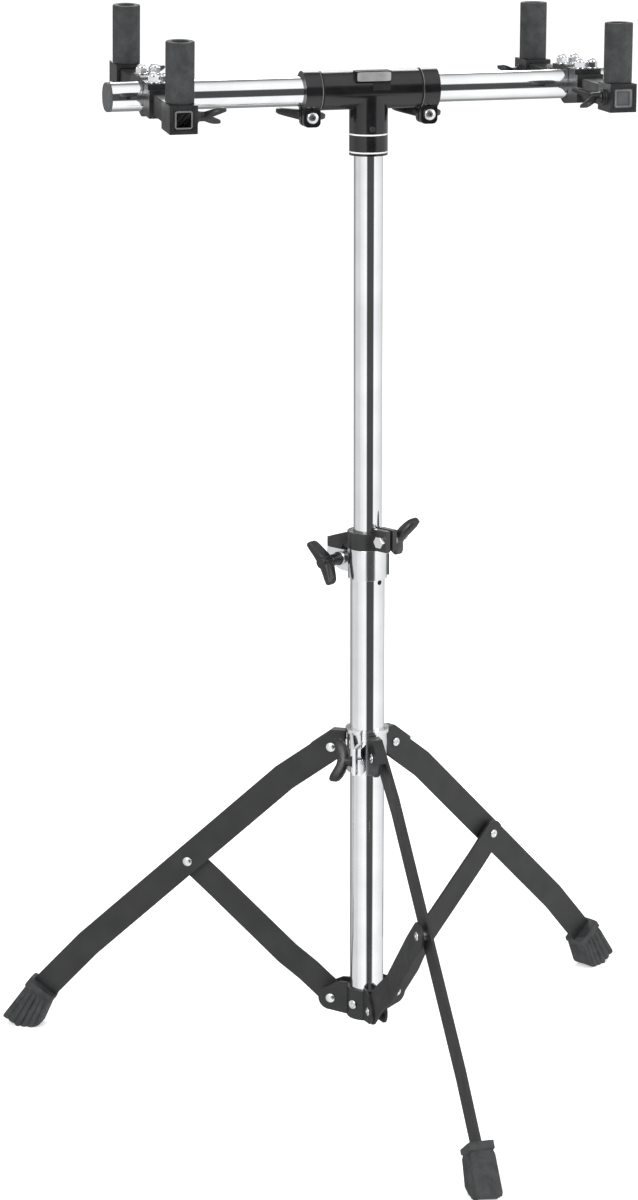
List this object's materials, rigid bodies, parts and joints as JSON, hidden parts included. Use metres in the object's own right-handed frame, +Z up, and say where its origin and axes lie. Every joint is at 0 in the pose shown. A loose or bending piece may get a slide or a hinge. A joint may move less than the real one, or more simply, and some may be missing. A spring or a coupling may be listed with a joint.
{
  "type": "percussion stand",
  "caption": "Folding tripod stand with a telescopic pole, a T-shaped crossbar and tilting arms whose rubber posts hold a pair of small drums.",
  "frame": {"origin": "on the floor, where the pole's axis meets it", "axes": "+Z up along the pole, +X along the crossbar to the right, -Y along the front leg"},
  "size_m": [0.707, 0.6158, 1.085],
  "materials": {
    "chrome": "polished chrome plating",
    "zinc": "bright zinc-plated rivets and screws",
    "powder_black": "satin black powder coat",
    "gloss_black": "gloss black paint",
    "rubber": "matte dark rubber",
    "plastic": "dark grey moulded plastic"
  },
  "bodies": {
    "base": {"lower_tube": "chrome", "bottom_bracket": "powder_black", "bracket_screws": "zinc", "brace_pivot_rivets": "zinc", "height_clamp": "chrome", "clamp_nut_and_washer": "chrome"},
    "height_wing": {"height_wing_bolt": "gloss_black"},
    "bush": {"pole_bush": "plastic"},
    "mast": {"upper_pole": "chrome", "t_head": "gloss_black", "bar_clamp_bolts": "chrome"},
    "memory": {"memory_lock": "gloss_black", "memory_bolt": "chrome"},
    "memory_wing": {"memory_wing_nut": "gloss_black"},
    "collar": {"leg_collar": "chrome", "leg_pivot_rivets": "zinc"},
    "collar_wing": {"collar_wing_bolt": "gloss_black"},
    "front_leg_unit": {"front_leg": "powder_black", "front_foot": "rubber", "front_knee_rivet": "zinc"},
    "front_brace_unit": {"front_brace": "powder_black", "front_knee_cap": "zinc"},
    "right_leg_unit": {"right_leg": "powder_black", "right_foot": "rubber", "right_knee_rivet": "zinc"},
    "right_brace_unit": {"right_brace": "powder_black", "right_knee_cap": "zinc"},
    "left_leg_unit": {"left_leg": "powder_black", "left_foot": "rubber", "left_knee_rivet": "zinc"},
    "left_brace_unit": {"left_brace": "powder_black", "left_knee_cap": "zinc"},
    "left_bar_wing": {"left_bar_wing_nut": "gloss_black"},
    "left_bar_unit": {"left_bar": "chrome", "left_bar_plug": "plastic"},
    "left_arm": {"left_arm_clamp": "gloss_black", "left_arm_saddle": "gloss_black", "left_arm_bolts": "chrome", "left_arm_rails": "powder_black", "left_rail_plugs": "plastic"},
    "front_left_post_unit": {"front_left_carriage": "gloss_black", "front_left_post": "rubber"},
    "front_left_wing": {"front_left_wing_bolt": "gloss_black"},
    "rear_left_post_unit": {"rear_left_carriage": "gloss_black", "rear_left_post": "rubber"},
    "rear_left_wing": {"rear_left_wing_bolt": "gloss_black"},
    "right_bar_wing": {"right_bar_wing_nut": "gloss_black"},
    "right_bar_unit": {"right_bar": "chrome", "right_bar_plug": "plastic"},
    "right_arm": {"right_arm_clamp": "gloss_black", "right_arm_saddle": "gloss_black", "right_arm_bolts": "chrome", "right_arm_rails": "powder_black", "right_rail_plugs": "plastic"},
    "front_right_post_unit": {"front_right_carriage": "gloss_black", "front_right_post": "rubber"},
    "front_right_wing": {"front_right_wing_bolt": "gloss_black"},
    "rear_right_post_unit": {"rear_right_carriage": "gloss_black", "rear_right_post": "rubber"},
    "rear_right_wing": {"rear_right_wing_bolt": "gloss_black"}
  },
  "joints": [
    {"name": "pole_swivel", "type": "hinge", "parent": "base", "child": "bush", "pos_m": [0, 0, 0.5], "axis": [0, 0, 1], "continuous": true},
    {"name": "height_slide", "type": "slide", "parent": "bush", "child": "mast", "axis": [0, 0, 1], "range_m": [-0.275, 0.115]},
    {"name": "memory_slide", "type": "slide", "parent": "base", "child": "memory", "axis": [0, 0, 1], "range_m": [0, 0.09]},
    {"name": "leg_spread", "type": "slide", "parent": "base", "child": "collar", "axis": [0, 0, 1], "range_m": [0, 0.13781]},
    {"name": "front_leg_pivot", "type": "hinge", "parent": "collar", "child": "front_leg_unit", "pos_m": [0, -0.037, 0.335], "axis": [1, 0, 0], "range_deg": [0, 42.68]},
    {"name": "front_brace_pivot", "type": "hinge", "parent": "base", "child": "front_brace_unit", "pos_m": [0, -0.037, 0.062], "axis": [1, 0, 0], "range_deg": [-42.68, 0]},
    {"name": "right_leg_pivot", "type": "hinge", "parent": "collar", "child": "right_leg_unit", "pos_m": [0.03204, 0.0185, 0.335], "axis": [-0.5, 0.866, 0], "range_deg": [0, 42.68]},
    {"name": "right_brace_pivot", "type": "hinge", "parent": "base", "child": "right_brace_unit", "pos_m": [0.03204, 0.0185, 0.062], "axis": [-0.5, 0.866, 0], "range_deg": [-42.68, 0]},
    {"name": "left_leg_pivot", "type": "hinge", "parent": "collar", "child": "left_leg_unit", "pos_m": [-0.03204, 0.0185, 0.335], "axis": [-0.5, -0.866, 0], "range_deg": [0, 42.68]},
    {"name": "left_brace_pivot", "type": "hinge", "parent": "base", "child": "left_brace_unit", "pos_m": [-0.03204, 0.0185, 0.062], "axis": [-0.5, -0.866, 0], "range_deg": [-42.68, 0]},
    {"name": "height_wing_turn", "type": "hinge", "parent": "base", "child": "height_wing", "pos_m": [-0.01749, 0.02799, 0.531], "axis": [-0.848, -0.5299, 0], "continuous": true},
    {"name": "memory_wing_turn", "type": "hinge", "parent": "memory", "child": "memory_wing", "pos_m": [0.013, -0.02252, 0.5575], "axis": [0.866, 0.5, 0], "continuous": true},
    {"name": "collar_wing_turn", "type": "hinge", "parent": "collar", "child": "collar_wing", "pos_m": [-0.01775, -0.02841, 0.33], "axis": [-0.848, 0.5299, 0], "continuous": true},
    {"name": "left_bar_wing_turn", "type": "hinge", "parent": "mast", "child": "left_bar_wing", "pos_m": [-0.0595, 0, 0.981], "axis": [0, 1, 0], "continuous": true},
    {"name": "left_bar_slide", "type": "slide", "parent": "mast", "child": "left_bar_unit", "axis": [-1, 0, 0], "range_m": [0, 0.04]},
    {"name": "left_arm_tilt", "type": "hinge", "parent": "left_bar_unit", "child": "left_arm", "pos_m": [-0.215, 0, 1.006], "axis": [1, 0, 0], "range_deg": [-45, 45]},
    {"name": "front_left_post_slide", "type": "slide", "parent": "left_arm", "child": "front_left_post_unit", "axis": [0, 0.9972, 0.075], "range_m": [0, 0.049]},
    {"name": "front_left_wing_turn", "type": "hinge", "parent": "front_left_post_unit", "child": "front_left_wing", "pos_m": [-0.215, -0.1066, 0.99668], "axis": [1, 0, 0], "continuous": true},
    {"name": "rear_left_post_slide", "type": "slide", "parent": "left_arm", "child": "rear_left_post_unit", "axis": [0, -0.9972, -0.075], "range_m": [0, 0.062]},
    {"name": "rear_left_wing_turn", "type": "hinge", "parent": "rear_left_post_unit", "child": "rear_left_wing", "pos_m": [-0.215, 0.11976, 1.0137], "axis": [1, 0, 0], "continuous": true},
    {"name": "right_bar_wing_turn", "type": "hinge", "parent": "mast", "child": "right_bar_wing", "pos_m": [0.0595, 0, 0.981], "axis": [0, 1, 0], "continuous": true},
    {"name": "right_bar_slide", "type": "slide", "parent": "mast", "child": "right_bar_unit", "axis": [1, 0, 0], "range_m": [0, 0.04]},
    {"name": "right_arm_tilt", "type": "hinge", "parent": "right_bar_unit", "child": "right_arm", "pos_m": [0.215, 0, 1.006], "axis": [1, 0, 0], "range_deg": [-45, 45]},
    {"name": "front_right_post_slide", "type": "slide", "parent": "right_arm", "child": "front_right_post_unit", "axis": [0, 1, 0.007], "range_m": [0, 0.057]},
    {"name": "front_right_wing_turn", "type": "hinge", "parent": "front_right_post_unit", "child": "front_right_wing", "pos_m": [0.215, -0.11499, 1.0039], "axis": [-1, 0, 0], "continuous": true},
    {"name": "rear_right_post_slide", "type": "slide", "parent": "right_arm", "child": "rear_right_post_unit", "axis": [0, -1, -0.007], "range_m": [0, 0.073]},
    {"name": "rear_right_wing_turn", "type": "hinge", "parent": "rear_right_post_unit", "child": "rear_right_wing", "pos_m": [0.215, 0.13101, 1.00561], "axis": [-1, 0, 0], "continuous": true}
  ],
  "couplings": [
    {"joint": "front_leg_pivot", "follows": "leg_spread", "rad_per_m": 5.3992},
    {"joint": "front_brace_pivot", "follows": "leg_spread", "rad_per_m": -5.3992},
    {"joint": "right_leg_pivot", "follows": "leg_spread", "rad_per_m": 5.3992},
    {"joint": "right_brace_pivot", "follows": "leg_spread", "rad_per_m": -5.3992},
    {"joint": "left_leg_pivot", "follows": "leg_spread", "rad_per_m": 5.3992},
    {"joint": "left_brace_pivot", "follows": "leg_spread", "rad_per_m": -5.3992}
  ]
}
